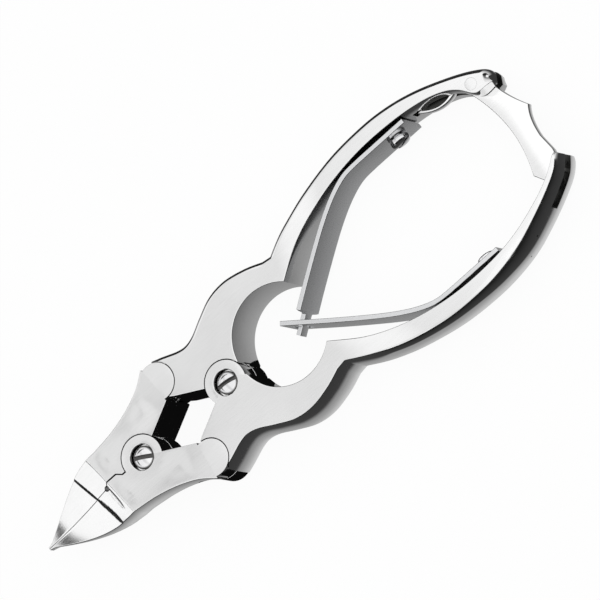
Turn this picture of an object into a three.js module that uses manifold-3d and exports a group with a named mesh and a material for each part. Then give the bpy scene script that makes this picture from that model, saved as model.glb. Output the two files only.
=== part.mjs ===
// Double-action nail nipper for thick nails, shown closed, lying on its underside.
// Millimetres. The handle pivot stands at the origin, +X runs to the jaw tips, +Z is up
// and the underside of the head is at z = 0.
// Two handles cross-lap at the handle pivot and two jaws at the jaw pivot. Two knuckles
// join handle to jaw on each side, so the four pivots are the corners of a rhombus.
// Side "a" lies at -Y and side "b" at +Y. Both sides share one plan, mirrored.

import * as THREE from 'three';
import { mergeVertices } from 'three/addons/utils/BufferGeometryUtils.js';
import Module from 'manifold-3d';

const wasm = await Module();
wasm.setup();

// ---------------------------------------------------------------- driving dimensions

const GAP = 0.3; // running clearance between neighbours
const HEAD_THICKNESS = 11.0;
const LINK = 15.5; // pivot to pivot, one side of the rhombus
const LINK_HALF_ANGLE = 40.2; // at the handle pivot, degrees, closed

const HINGE_LUG_RADIUS = 4.5; // handle pivot and jaw pivot
const KNUCKLE_LUG_RADIUS = 3.85;
const SCREW_HEAD_RADIUS = 2.4;
const SCREW_HEAD_DEPTH = 1.7;
const SCREW_HEAD_SINK = 0.25; // rim of the head below the upper face
const SCREW_SHANK_RADIUS = 1.6;
const SCREW_SLOT_WIDTH = 0.8;
const SCREW_SLOT_DEPTH = 0.8;
const KNUCKLE_PIN_RADIUS = 1.4;
const KNUCKLE_PIN_COVER = 1.3; // metal left over the pin's blind end

const JAW_LENGTH = 29.0; // jaw pivot to tip
const CHEEK_HALF_WIDTH = 7.7; // head where the nose begins
const NOSE_LENGTH = 21.1; // crease to tip
const TIP_UNDER = 5.6; // underside of the tip above the base
const TIP_THICKNESS = 1.3;
const HOLLOW_DEPTH = 3.6; // deepest fall of the hollow below the upper face
const RELIEF_RADIUS = 0.6;

const CUTOUT_RADIUS = 10.6; // round clearance behind the handle pivot
const GRIP_LENGTH = 60.2; // straps, from behind the cut-out to the end of handle a
const HANDLE_B_EXTRA = 1.6; // handle b reaches this much further back
const HANDLE_HALF_SPREAD = 22.3; // widest half spread of the straps
const GRIP_THICKNESS = 4.3; // strap at its widest bow
const GRIP_WIDTH = 9.8; // strap along Z

const SPRING_THICKNESS = 1.0;
const SPRING_WIDTH = 8.8;
const SPRING_TAIL = 4.0; // leaf behind its screw
const SPRING_ROOT = 8.5; // straight leaf ahead of its screw
const SPRING_CROSS_INSET = 6.8; // crossing of the leaves, ahead of the cut-out's back
const SPRING_OVERRUN = 3.4; // leaf b beyond the crossing
const TONGUE_WIDTH = 3.0;
const TONGUE_OVERRUN = 2.4;
const TONGUE_SHOULDER = 2.2; // full width of leaf a ends this far before the crossing
const SPRING_SCREW_RADIUS = 1.1;
const SPRING_HEAD_RADIUS = 2.2;
const SPRING_HEAD_HEIGHT = 1.3;

const LOCK_THICKNESS = 2.0;
const LOCK_BOSS_RADIUS = 2.2;
const LOCK_RIVET_RADIUS = 1.0;
const CATCH_PIN_RADIUS = 0.55;
const FORK_DEPTH = 8.8; // open slot in the end of handle b

// ---------------------------------------------------------------- derived places

const MID = HEAD_THICKNESS / 2;
const halfAngle = THREE.MathUtils.degToRad(LINK_HALF_ANGLE);
const KNUCKLE_X = LINK * Math.cos(halfAngle);
const KNUCKLE_Y = LINK * Math.sin(halfAngle);
const JAW_PIVOT_X = 2 * KNUCKLE_X;
const TIP_X = JAW_PIVOT_X + JAW_LENGTH;
const CREASE_X = TIP_X - NOSE_LENGTH;
const CUTOUT_X = -(HINGE_LUG_RADIUS + 0.1 + CUTOUT_RADIUS);
const SPRING_CROSS_X = CUTOUT_X - CUTOUT_RADIUS + SPRING_CROSS_INSET;
const GRIP = [MID - GRIP_WIDTH / 2, MID + GRIP_WIDTH / 2];
const UPPER = [MID + GAP / 2, HEAD_THICKNESS];
const LOWER = [0, MID - GAP / 2];
const THROUGH = [-1, HEAD_THICKNESS + 1];
const ARC_STEPS = 36;
const CURVE_STEPS = 4;

// ---------------------------------------------------------------- solids

function toSolid(geometry) {
  const bare = geometry.index ? geometry.toNonIndexed() : geometry.clone();
  bare.deleteAttribute('normal');
  bare.deleteAttribute('uv');
  const merged = mergeVertices(bare, 1e-4);
  const corners = Array.from(merged.index.array);
  const triangles = [];
  for (let i = 0; i < corners.length; i += 3) {
    const [a, b, c] = corners.slice(i, i + 3);
    if (a !== b && b !== c && c !== a) triangles.push(a, b, c);
  }
  const mesh = new wasm.Mesh({
    numProp: 3,
    vertProperties: new Float32Array(merged.attributes.position.array),
    triVerts: new Uint32Array(triangles),
  });
  return new wasm.Manifold(mesh);
}

function toGeometry(solid) {
  const mesh = solid.getMesh();
  const geometry = new THREE.BufferGeometry();
  geometry.setAttribute('position', new THREE.BufferAttribute(mesh.vertProperties, 3));
  geometry.setIndex(new THREE.BufferAttribute(mesh.triVerts, 1));
  return geometry;
}

// A plan shape raised from z0 to z1.
function plate(shape, [z0, z1]) {
  const geometry = new THREE.ExtrudeGeometry(shape, {
    depth: z1 - z0,
    curveSegments: CURVE_STEPS,
    bevelEnabled: false,
  });
  geometry.translate(0, 0, z0);
  return toSolid(geometry);
}

// An upright cylinder.
function disc(x, y, radius, [z0, z1]) {
  const geometry = new THREE.CylinderGeometry(radius, radius, z1 - z0, ARC_STEPS);
  geometry.rotateX(Math.PI / 2);
  geometry.translate(x, y, (z0 + z1) / 2);
  return toSolid(geometry);
}

// A box between two corners.
function block([x0, y0, z0], [x1, y1, z1]) {
  const geometry = new THREE.BoxGeometry(x1 - x0, y1 - y0, z1 - z0);
  geometry.translate((x0 + x1) / 2, (y0 + y1) / 2, (z0 + z1) / 2);
  return toSolid(geometry);
}

// A closed plan outline mirrored to one side; steps are points or arrays of spline points.
function outline(side, steps) {
  const path = new THREE.Shape();
  const at = ([x, y]) => new THREE.Vector2(x, side * y);
  steps.forEach((step, index) => {
    const points = Array.isArray(step[0]) ? step.map(at) : [at(step)];
    if (index === 0) path.moveTo(points[0].x, points[0].y);
    else path.lineTo(points[0].x, points[0].y);
    if (points.length > 1) path.splineThru(points.slice(1));
  });
  path.closePath();
  return path;
}

// A straight slot or tongue space: length along a plan direction, centred on (x, y).
function turnedBlock(x, y, angle, [length, width, height], z = MID) {
  const geometry = new THREE.BoxGeometry(length, width, height);
  geometry.rotateZ(angle);
  geometry.translate(x, y, z);
  return toSolid(geometry);
}

// A round bar along Y from y0 to y1.
function crossBar(x, y0, y1, radius) {
  const geometry = new THREE.CylinderGeometry(radius, radius, Math.abs(y1 - y0), 24);
  geometry.translate(x, (y0 + y1) / 2, MID);
  return toSolid(geometry);
}

// The heights to clear for a neighbour's lug in the upper or the lower layer.
function clearing(layer) {
  return layer === UPPER ? [UPPER[0] - GAP, THROUGH[1]] : [THROUGH[0], LOWER[1] + GAP];
}

// ---------------------------------------------------------------- handles

// Plan curves are written for side b. The straps start behind the cut-out and stretch with
// their length, from 0 at the cut-out to 1 at the end of handle a.
const STRAP_X = CUTOUT_X - 7.2;
const along = (share) => STRAP_X - GRIP_LENGTH * share;
const bow = HANDLE_HALF_SPREAD;
const inner = bow - GRIP_THICKNESS;

const outerBow = [
  [along(0.11), bow - 5.1],
  [along(0.23), bow - 2.4],
  [along(0.38), bow - 0.5],
  [along(0.53), bow],
  [along(0.64), bow - 0.5],
];
const innerBow = [
  [along(0.64), inner - 0.2],
  [along(0.49), inner],
  [along(0.35), inner - 1.0],
  [along(0.22), inner - 3.1],
  [along(0.11), inner - 5.9],
  [STRAP_X, inner - 10.0],
];

// The ends: a keeps a thick rounded knob behind a narrow neck, b thins to a forked tip.
const rears = {
  a: {
    outer: [
      [along(0.74), bow - 1.8],
      [along(0.84), bow - 3.9],
      [along(0.93), bow - 6.3],
      [along(0.99), bow - 8.6],
    ],
    end: [along(1.0), bow - 10.2],
    inner: [
      [along(0.985), bow - 11.9],
      [along(0.92), bow - 11.9],
      [along(0.875), bow - 8.9],
      [along(0.83), inner - 2.7],
      [along(0.755), inner - 1.2],
    ],
  },
  b: {
    outer: [
      [along(0.74), bow - 1.8],
      [along(0.84), bow - 4.2],
      [along(0.93), bow - 6.9],
      [along(0.99), bow - 9.2],
    ],
    end: [along(1.0) - HANDLE_B_EXTRA, bow - 11.9],
    inner: [
      [along(1.01), bow - 13.1],
      [along(0.945), bow - 10.2],
      [along(0.87), inner - 3.7],
      [along(0.755), inner - 1.4],
    ],
  },
};

function strap(side, rear) {
  return plate(outline(side, [
    [STRAP_X + 2.0, 13.0],
    [[STRAP_X - 0.6, 14.0], ...outerBow, ...rear.outer],
    rear.end,
    [...rear.inner, ...innerBow],
  ]), GRIP);
}

// The head of a handle: an arm forward to the knuckle, a rounded hump over the cut-out.
function handleHead(side) {
  return plate(outline(side, [
    [1.0, 0],
    [KNUCKLE_X - 1.2, KNUCKLE_Y - 4.8],
    [KNUCKLE_X - 0.2, KNUCKLE_Y - 4.1],
    [KNUCKLE_X, KNUCKLE_Y],
    [KNUCKLE_X - 1.5, KNUCKLE_Y + KNUCKLE_LUG_RADIUS + 0.4],
    [
      [5.0, 12.3], [2.8, 11.9], [0.3, 12.5], [-3.3, 14.4],
      [-7.5, 16.3], [-12.0, 16.8], [-17.0, 15.8], [STRAP_X + 1.4, 14.3],
    ],
    [STRAP_X - 0.6, 14.0],
    [STRAP_X, inner - 10.0],
    [CUTOUT_X, 0.3],
  ]), [0, HEAD_THICKNESS]);
}

// One handle with its hinge lug in one layer, the pocket for its mate's lug in the other,
// and its knuckle ear in the lower layer.
function handle(side, rear, ownLayer, mateLayer) {
  const knuckleY = side * KNUCKLE_Y;
  return handleHead(side)
    .add(strap(side, rear))
    .subtract(disc(CUTOUT_X, 0, CUTOUT_RADIUS, THROUGH))
    .subtract(disc(0, 0, HINGE_LUG_RADIUS + GAP, clearing(mateLayer)))
    .add(disc(0, 0, HINGE_LUG_RADIUS, ownLayer))
    .subtract(disc(KNUCKLE_X, knuckleY, KNUCKLE_LUG_RADIUS + GAP, clearing(UPPER)))
    .add(disc(KNUCKLE_X, knuckleY, KNUCKLE_LUG_RADIUS, LOWER))
    .subtract(disc(KNUCKLE_X, knuckleY, KNUCKLE_PIN_RADIUS + GAP, THROUGH))
    .subtract(springScrewBore(side));
}

// ---------------------------------------------------------------- jaws

// Half width of the nose at a share of the way from crease to tip.
function noseHalfWidth(share) {
  return CHEEK_HALF_WIDTH * (1 - share * share) ** 1.15;
}

// The blades meet on the axis, with a short stepped overlap next to the lug.
const STEP_X = JAW_PIVOT_X + HINGE_LUG_RADIUS + 1.0;
const STEP_LENGTH = 4.6;
const STEP_OFFSET = 1.0;

function jawPlan(side) {
  const nose = [0.22, 0.4, 0.55, 0.69, 0.83].map((share) => (
    [CREASE_X + NOSE_LENGTH * share, noseHalfWidth(share)]));
  const step = GAP / 2 - side * STEP_OFFSET;
  return outline(side, [
    [KNUCKLE_X, KNUCKLE_Y],
    [KNUCKLE_X + 1.4, KNUCKLE_Y + KNUCKLE_LUG_RADIUS + 0.4],
    [
      [KNUCKLE_X + 4.8, KNUCKLE_Y + 1.7],
      [KNUCKLE_X + 9.4, CHEEK_HALF_WIDTH + 2.0],
      [KNUCKLE_X + 14.4, CHEEK_HALF_WIDTH + 0.7],
      [CREASE_X, CHEEK_HALF_WIDTH],
      ...nose,
      [TIP_X, 0.5],
    ],
    [TIP_X, GAP / 2],
    [STEP_X + STEP_LENGTH, GAP / 2],
    [STEP_X + STEP_LENGTH - 0.8, step],
    [STEP_X + 1.2, step],
    [STEP_X, GAP / 2],
    [JAW_PIVOT_X, GAP / 2],
    [JAW_PIVOT_X - 0.8, 0],
    [KNUCKLE_X + 0.6, KNUCKLE_Y - 4.4],
  ]);
}

// Side view of a jaw: flat head, a bevel at the crease, then the hollow of the nose above
// and a rising belly below.
function jawSideView() {
  const top = HEAD_THICKNESS;
  const tipTop = TIP_UNDER + TIP_THICKNESS;
  const view = new THREE.Shape();
  view.moveTo(0, -1);
  view.lineTo(JAW_PIVOT_X + HINGE_LUG_RADIUS, -1);
  view.lineTo(JAW_PIVOT_X + HINGE_LUG_RADIUS, 0);
  view.quadraticCurveTo(TIP_X - 0.5 * NOSE_LENGTH, 0.5, TIP_X + 1, TIP_UNDER);
  view.lineTo(TIP_X + 1, tipTop);
  view.quadraticCurveTo(
    TIP_X - 0.5 * NOSE_LENGTH,
    top - HOLLOW_DEPTH - 1.6,
    CREASE_X + 0.27 * NOSE_LENGTH,
    top - 2.3,
  );
  view.lineTo(CREASE_X + 0.11 * NOSE_LENGTH, top - 0.8);
  view.lineTo(CREASE_X, top);
  view.lineTo(CREASE_X, top + 1);
  view.lineTo(0, top + 1);
  view.closePath();
  const span = 2 * (KNUCKLE_Y + 8);
  const geometry = new THREE.ExtrudeGeometry(view, {
    depth: span,
    curveSegments: 12,
    bevelEnabled: false,
  });
  geometry.rotateX(Math.PI / 2);
  geometry.translate(0, span / 2, 0);
  return toSolid(geometry);
}

// One jaw with its rear lug over the handle's ear and its hinge lug in one layer.
function jaw(side, ownLayer, mateLayer) {
  const knuckleY = side * KNUCKLE_Y;
  const pinBore = [THROUGH[0], HEAD_THICKNESS - KNUCKLE_PIN_COVER];
  return plate(jawPlan(side), [0, HEAD_THICKNESS])
    .intersect(jawSideView())
    .subtract(disc(JAW_PIVOT_X, 0, HINGE_LUG_RADIUS + GAP, clearing(mateLayer)))
    .add(disc(JAW_PIVOT_X, 0, HINGE_LUG_RADIUS, ownLayer))
    .subtract(disc(KNUCKLE_X, knuckleY, KNUCKLE_LUG_RADIUS + GAP, clearing(LOWER)))
    .add(disc(KNUCKLE_X, knuckleY, KNUCKLE_LUG_RADIUS, UPPER))
    .subtract(disc(KNUCKLE_X, knuckleY, KNUCKLE_PIN_RADIUS + GAP, pinBore))
    .subtract(disc(STEP_X + STEP_LENGTH, 0, RELIEF_RADIUS, THROUGH));
}

// ---------------------------------------------------------------- pivot screws and pins

// Bore and counterbore for a pivot screw.
function screwBore(x) {
  const seat = HEAD_THICKNESS - SCREW_HEAD_SINK - SCREW_HEAD_DEPTH - GAP;
  return disc(x, 0, SCREW_SHANK_RADIUS + GAP, THROUGH)
    .add(disc(x, 0, SCREW_HEAD_RADIUS + GAP, [seat, THROUGH[1]]));
}

// Slotted screw with a domed head, its lower end ground flush with the underside.
function pivotScrew(x, slotAngle) {
  const rim = HEAD_THICKNESS - SCREW_HEAD_SINK;
  const under = rim - SCREW_HEAD_DEPTH;
  const dome = [0, 1, 2, 3].map((step) => {
    const share = step / 3;
    const radius = SCREW_HEAD_RADIUS * (1 - share);
    return new THREE.Vector2(radius, rim - 0.45 + 0.45 * (1 - (1 - share) ** 2));
  });
  const profile = [
    new THREE.Vector2(0, 0),
    new THREE.Vector2(SCREW_SHANK_RADIUS - 0.3, 0),
    new THREE.Vector2(SCREW_SHANK_RADIUS, 0.3),
    new THREE.Vector2(SCREW_SHANK_RADIUS, under),
    new THREE.Vector2(SCREW_HEAD_RADIUS, under),
    ...dome,
  ];
  const geometry = new THREE.LatheGeometry(profile, ARC_STEPS);
  geometry.rotateX(Math.PI / 2);
  geometry.translate(x, 0, 0);
  const slot = [4 * SCREW_HEAD_RADIUS, SCREW_SLOT_WIDTH, 2 * SCREW_SLOT_DEPTH];
  return toSolid(geometry).subtract(turnedBlock(x, 0, slotAngle, slot, rim));
}

function knucklePin(side) {
  const top = HEAD_THICKNESS - KNUCKLE_PIN_COVER - GAP;
  return disc(KNUCKLE_X, side * KNUCKLE_Y, KNUCKLE_PIN_RADIUS, [0, top]);
}

// ---------------------------------------------------------------- springs

const SPRING_SCREW_X = along(0.592);
const SPRING_SEAT_Y = inner - 0.3 - GAP; // outer face of the leaf's straight root
const SPRING_FACE_Y = SPRING_SEAT_Y - SPRING_THICKNESS;
const SPRING_LAYER = [MID - SPRING_WIDTH / 2, MID + SPRING_WIDTH / 2];
const SPRING_SLOPE = 0.74; // fall of the leaf where it crosses the axis
const SPRING_ANGLE = Math.atan(SPRING_SLOPE);

// Plan of a leaf: a straight root on the handle, then a sweep across to the axis.
function leafPlan(side, overrun) {
  const rootY = SPRING_SEAT_Y - SPRING_THICKNESS / 2;
  const rootEnd = SPRING_SCREW_X + SPRING_ROOT;
  const sweep = SPRING_CROSS_X - rootEnd;
  const sweepPoint = (share, height) => [rootEnd + sweep * share, rootY * height];
  const centre = new THREE.CatmullRomCurve3([
    [rootEnd, rootY],
    sweepPoint(0.13, 0.985),
    sweepPoint(0.26, 0.905),
    sweepPoint(0.4, 0.77),
    sweepPoint(0.56, 0.58),
    sweepPoint(0.8, 0.27),
    [SPRING_CROSS_X, 0],
    [SPRING_CROSS_X + overrun * Math.cos(SPRING_ANGLE), -overrun * Math.sin(SPRING_ANGLE)],
  ].map(([x, y]) => new THREE.Vector3(x, side * y, 0)));
  const samples = 24;
  const tailX = SPRING_SCREW_X - SPRING_TAIL;
  const near = [new THREE.Vector2(tailX, side * (rootY - SPRING_THICKNESS / 2))];
  const far = [new THREE.Vector2(tailX, side * (rootY + SPRING_THICKNESS / 2))];
  for (let i = 0; i <= samples; i += 1) {
    const point = centre.getPoint(i / samples);
    const tangent = centre.getTangent(i / samples);
    const offset = (SPRING_THICKNESS / 2) * side;
    near.push(new THREE.Vector2(point.x + tangent.y * offset, point.y - tangent.x * offset));
    far.push(new THREE.Vector2(point.x - tangent.y * offset, point.y + tangent.x * offset));
  }
  return new THREE.Shape([...near, ...far.reverse()]);
}

// Cuts a leaf wherever it lies between two distances past the crossing, over a height.
function leafCut(side, from, to, [z0, z1]) {
  const middle = (from + to) / 2;
  const x = SPRING_CROSS_X + middle * Math.cos(SPRING_ANGLE);
  const y = -side * middle * Math.sin(SPRING_ANGLE);
  const size = [to - from, 4 * SPRING_THICKNESS, z1 - z0];
  return turnedBlock(x, y, -side * SPRING_ANGLE, size, (z0 + z1) / 2);
}

function leafBlank(side, overrun) {
  const radius = SPRING_SCREW_RADIUS + GAP;
  const bore = crossBar(SPRING_SCREW_X, side * (SPRING_FACE_Y - 2), side * bow, radius);
  return plate(leafPlan(side, overrun), SPRING_LAYER).subtract(bore);
}

// Leaf a ends in a narrow tongue.
function leafWithTongue(side) {
  const edge = TONGUE_WIDTH / 2;
  const reach = TONGUE_OVERRUN + 2;
  return leafBlank(side, TONGUE_OVERRUN)
    .subtract(leafCut(side, -TONGUE_SHOULDER, reach, [MID + edge, HEAD_THICKNESS]))
    .subtract(leafCut(side, -TONGUE_SHOULDER, reach, [0, MID - edge]));
}

// Leaf b has the slot that the tongue slides in.
function leafWithSlot(side) {
  const edge = TONGUE_WIDTH / 2 + GAP;
  return leafBlank(side, SPRING_OVERRUN)
    .subtract(leafCut(side, -1.6, SPRING_OVERRUN - 1.0, [MID - edge, MID + edge]));
}

function springScrewBore(side) {
  const depth = SPRING_SEAT_Y + GRIP_THICKNESS - 0.9;
  return crossBar(SPRING_SCREW_X, side * (SPRING_SEAT_Y - 2), side * depth, SPRING_SCREW_RADIUS + GAP);
}

function springScrew(side) {
  const headTop = SPRING_FACE_Y - GAP;
  const depth = SPRING_SEAT_Y + GRIP_THICKNESS - 1.2;
  const slot = turnedBlock(SPRING_SCREW_X, side * (headTop - SPRING_HEAD_HEIGHT), 0, [0.7, 1.2, 6]);
  const headEnd = headTop - SPRING_HEAD_HEIGHT;
  return crossBar(SPRING_SCREW_X, side * headTop, side * depth, SPRING_SCREW_RADIUS)
    .add(crossBar(SPRING_SCREW_X, side * headTop, side * headEnd, SPRING_HEAD_RADIUS))
    .subtract(slot);
}

// ---------------------------------------------------------------- lock

const RIVET = [along(0.925), -(bow - 9.5)];
const CATCH = [along(0.982), bow - 10.4];
const LOCK_LAYER = [MID - LOCK_THICKNESS / 2, MID + LOCK_THICKNESS / 2];
const LOCK_SLOT = [LOCK_LAYER[0] - GAP, LOCK_LAYER[1] + GAP];

// Steel lever: a boss on the rivet, an arm across to the hook, and a thumb heel forward.
function lockLever() {
  const [rx, ry] = RIVET;
  const [cx, cy] = CATCH;
  const hookY = cy + CATCH_PIN_RADIUS + GAP;
  const rise = (share) => ry + (cy - ry) * share;
  const lever = new THREE.Shape();
  lever.moveTo(rx - LOCK_BOSS_RADIUS, ry);
  lever.lineTo(rx - 3.0, rise(0.138));
  lever.quadraticCurveTo(rx - 4.0, rise(0.267), rx - 6.0, rise(0.397));
  lever.quadraticCurveTo(rx - 4.3, rise(0.486), rx - 4.1, rise(0.668));
  lever.lineTo(cx - 1.1, cy - 4.4);
  lever.lineTo(cx - 0.7, cy - 1.5);
  lever.lineTo(cx + 2.5, cy - CATCH_PIN_RADIUS - GAP);
  lever.lineTo(cx + 2.5, hookY);
  lever.lineTo(cx + 1.25, hookY);
  lever.lineTo(cx + 1.6, hookY + 0.85);
  lever.lineTo(cx + 3.9, hookY + 0.85);
  lever.lineTo(cx + 4.1, cy - 0.4);
  lever.lineTo(cx + 5.4, cy - 2.6);
  lever.quadraticCurveTo(rx + 0.1, rise(0.68), rx + 0.1, rise(0.486));
  lever.quadraticCurveTo(rx + 0.1, rise(0.263), rx + 2.2, ry + 0.6);
  lever.lineTo(rx + 4.6, ry - 2.6);
  lever.quadraticCurveTo(rx + 9.2, ry - 0.7, rx + 13.6, ry - 4.4);
  lever.quadraticCurveTo(rx + 9.0, ry - 5.2, rx + 3.6, ry - 4.0);
  lever.lineTo(rx, ry - LOCK_BOSS_RADIUS);
  lever.closePath();
  return plate(lever, LOCK_LAYER)
    .add(disc(rx, ry, LOCK_BOSS_RADIUS, LOCK_LAYER))
    .subtract(disc(rx, ry, LOCK_RIVET_RADIUS + GAP, THROUGH));
}

// Space for the lever in the end of handle a, open to the inner side and to the rear.
function leverSlot() {
  const [rx, ry] = RIVET;
  const slot = new THREE.Shape();
  slot.moveTo(rx - 8, ry + 6);
  slot.lineTo(rx - 8, ry - 0.4);
  slot.lineTo(rx - 2.6, ry - 1.6);
  slot.lineTo(rx, ry - LOCK_BOSS_RADIUS - GAP);
  slot.lineTo(rx + 3.5, ry - 4.6);
  slot.lineTo(rx + 9, ry - 5.9);
  slot.lineTo(rx + 14.6, ry - 6.7);
  slot.lineTo(rx + 14.6, ry + 6);
  slot.closePath();
  return plate(slot, LOCK_SLOT);
}

function forkSlot() {
  const end = along(1.0) - HANDLE_B_EXTRA;
  return block([end - 2, bow - 20, LOCK_SLOT[0]], [end + FORK_DEPTH, bow, LOCK_SLOT[1]]);
}

// ---------------------------------------------------------------- assembly

const polished = { color: 0xd4d6d9, roughness: 0.12, metalness: 1.0 };
const satin = { color: 0xc4c7cb, roughness: 0.3, metalness: 1.0 };
const springSteel = { color: 0xb9bdc2, roughness: 0.2, metalness: 1.0 };
const darkened = { color: 0x8d9197, roughness: 0.28, metalness: 1.0 };

const group = new THREE.Group();

function addPart(name, solid, look) {
  const mesh = new THREE.Mesh(toGeometry(solid), new THREE.MeshStandardMaterial(look));
  mesh.name = name;
  group.add(mesh);
}

const handleA = handle(-1, rears.a, LOWER, UPPER)
  .subtract(screwBore(0))
  .subtract(leverSlot())
  .subtract(disc(RIVET[0], RIVET[1], LOCK_RIVET_RADIUS + GAP, THROUGH));
const handleB = handle(1, rears.b, UPPER, LOWER)
  .subtract(screwBore(0))
  .subtract(forkSlot())
  .subtract(disc(CATCH[0], CATCH[1], CATCH_PIN_RADIUS + GAP, THROUGH));

addPart('handle_a', handleA, polished);
addPart('handle_b', handleB, polished);
addPart('jaw_a', jaw(-1, LOWER, UPPER).subtract(screwBore(JAW_PIVOT_X)), polished);
addPart('jaw_b', jaw(1, UPPER, LOWER).subtract(screwBore(JAW_PIVOT_X)), polished);
addPart('handle_pivot_screw', pivotScrew(0, THREE.MathUtils.degToRad(-7)), darkened);
addPart('jaw_pivot_screw', pivotScrew(JAW_PIVOT_X, THREE.MathUtils.degToRad(-29)), darkened);
addPart('knuckle_pin_a', knucklePin(-1), satin);
addPart('knuckle_pin_b', knucklePin(1), satin);
addPart('leaf_spring_a', leafWithTongue(-1), springSteel);
addPart('leaf_spring_b', leafWithSlot(1), springSteel);
addPart('spring_screw_a', springScrew(-1), darkened);
addPart('spring_screw_b', springScrew(1), darkened);
addPart('lock_lever', lockLever(), polished);
addPart('lock_rivet', disc(RIVET[0], RIVET[1], LOCK_RIVET_RADIUS, [GRIP[0], GRIP[1]]), satin);
addPart('catch_pin', disc(CATCH[0], CATCH[1], CATCH_PIN_RADIUS, [GRIP[0], GRIP[1]]), satin);

export default group;
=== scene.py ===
"""Looks of the double-action nail nipper: forged handles and jaws, springs, screws and lock."""

import math

import bpy
import numpy as np
from mathutils import Matrix, Vector


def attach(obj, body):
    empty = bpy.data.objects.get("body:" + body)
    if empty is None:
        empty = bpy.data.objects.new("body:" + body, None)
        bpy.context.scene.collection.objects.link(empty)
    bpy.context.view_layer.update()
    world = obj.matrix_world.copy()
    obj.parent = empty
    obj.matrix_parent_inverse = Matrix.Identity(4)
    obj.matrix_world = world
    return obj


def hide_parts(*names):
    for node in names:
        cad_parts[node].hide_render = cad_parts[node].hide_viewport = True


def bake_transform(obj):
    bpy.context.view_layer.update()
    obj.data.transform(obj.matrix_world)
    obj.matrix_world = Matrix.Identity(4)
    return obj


bl_info = {
    "name": "Double-action nail nipper",
    "version": (1, 0, 0),
    "blender": (4, 5, 0),
    "location": "View3D > Sidebar > Nipper",
    "description": "Builds the nipper's steel pieces on its packed frame, and a plain studio",
    "category": "Add Mesh",
}

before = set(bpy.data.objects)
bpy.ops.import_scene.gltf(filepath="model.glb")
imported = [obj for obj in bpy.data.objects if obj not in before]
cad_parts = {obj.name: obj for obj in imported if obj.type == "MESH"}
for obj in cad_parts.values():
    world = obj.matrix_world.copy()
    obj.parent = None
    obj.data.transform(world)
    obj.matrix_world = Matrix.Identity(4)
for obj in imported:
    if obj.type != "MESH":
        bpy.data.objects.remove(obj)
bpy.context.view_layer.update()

MM = 0.001

# Sizes shared with the frame, in millimetres.
HEAD = 11.0
MID = HEAD / 2
GAP = 0.3
LINK = 15.5
HALF_ANGLE = math.radians(40.2)
KNUCKLE = np.array([LINK * math.cos(HALF_ANGLE), LINK * math.sin(HALF_ANGLE)])
JAW_PIVOT_X = 2 * KNUCKLE[0]
TIP_X = JAW_PIVOT_X + 29.0
NOSE = 21.1
CREASE_X = TIP_X - NOSE
HINGE_RADIUS = 4.5
KNUCKLE_RADIUS = 3.85
CUTOUT_RADIUS = 10.6
CUTOUT_X = -(HINGE_RADIUS + 0.1 + CUTOUT_RADIUS)
STRAP_X = CUTOUT_X - 7.2
GRIP_LENGTH = 60.2
BOW = 22.3
INNER = BOW - 4.3
GRIP_HALF = 4.9
LOWER = (0.0, MID - GAP / 2)
UPPER = (MID + GAP / 2, HEAD)
STEP_X = JAW_PIVOT_X + HINGE_RADIUS + 1.0
RELIEF_X = STEP_X + 4.6
SPRING_SCREW_X = STRAP_X - GRIP_LENGTH * 0.592
SPRING_SEAT = INNER - 0.3 - GAP
SPRING_CROSS_X = CUTOUT_X - CUTOUT_RADIUS + 6.8
SPRING_ANGLE = math.atan(0.74)
RIVET = np.array([STRAP_X - GRIP_LENGTH * 0.925, -(BOW - 9.5)])
CATCH = np.array([STRAP_X - GRIP_LENGTH * 0.982, BOW - 10.4])
KNUCKLE_BORE = 1.7
RIVET_BORE = 1.3
SPRING_BORE = 1.4
LEAF_HALF = 0.5
LOCK_SLOT = (MID - 1.3, MID + 1.3)
THUMB_FLOOR = MID + 0.45

SHARP_ANGLE = math.radians(28)


# ------------------------------------------------------------------ curves


def spline(points, steps=14):
    """Catmull-Rom curve: each span blends its two ends and their two neighbours by cubic weights."""
    p = np.asarray(points, float)
    padded = np.vstack([p[:1], p, p[-1:]])
    t = np.linspace(0, 1, steps, endpoint=False)[:, None]
    spans = [padded[i : i + 4] for i in range(len(p) - 1)]
    curves = []
    for a, b, c, d in spans:
        v0 = (c - a) * 0.5
        v1 = (d - b) * 0.5
        curves.append(
            (2 * b - 2 * c + v0 + v1) * t**3 + (-3 * b + 3 * c - 2 * v0 - v1) * t**2 + v0 * t + b
        )
    return np.vstack([*curves, p[-1:]])


def evenly(line, count):
    """count + 1 points along a polyline, at equal distances measured along it."""
    line = np.asarray(line, float)
    run = np.concatenate([[0.0], np.cumsum(np.linalg.norm(np.diff(line, axis=0), axis=1))])
    keep = np.concatenate([[True], np.diff(run) > 1e-9])
    at = np.linspace(0, run[-1], count + 1)
    return np.column_stack([np.interp(at, run[keep], line[keep, k]) for k in range(line.shape[1])])


def chain(pieces, counts):
    """Joins curves end to end, each resampled evenly to its own count."""
    parts = [evenly(line, n)[:-1] for line, n in zip(pieces, counts)]
    return np.vstack([*parts, np.asarray(pieces[-1], float)[-1:]])


def arc(centre, radius, start, end, steps=48):
    """Points on a circle between two angles in degrees."""
    a = np.radians(np.linspace(start, end, steps))
    return np.column_stack([centre[0] + radius * np.cos(a), centre[1] + radius * np.sin(a)])


def side_normals(line, inward):
    """Unit normals of a plan curve, turned to the side on which the inward curve lies."""
    tangent = np.gradient(line, axis=0)
    tangent /= np.maximum(np.linalg.norm(tangent, axis=1, keepdims=True), 1e-9)
    normal = np.column_stack([-tangent[:, 1], tangent[:, 0]])
    facing = np.sign(np.sum(normal * (inward - line), axis=1, keepdims=True))
    return normal * np.where(facing == 0, 1, facing)


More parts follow.
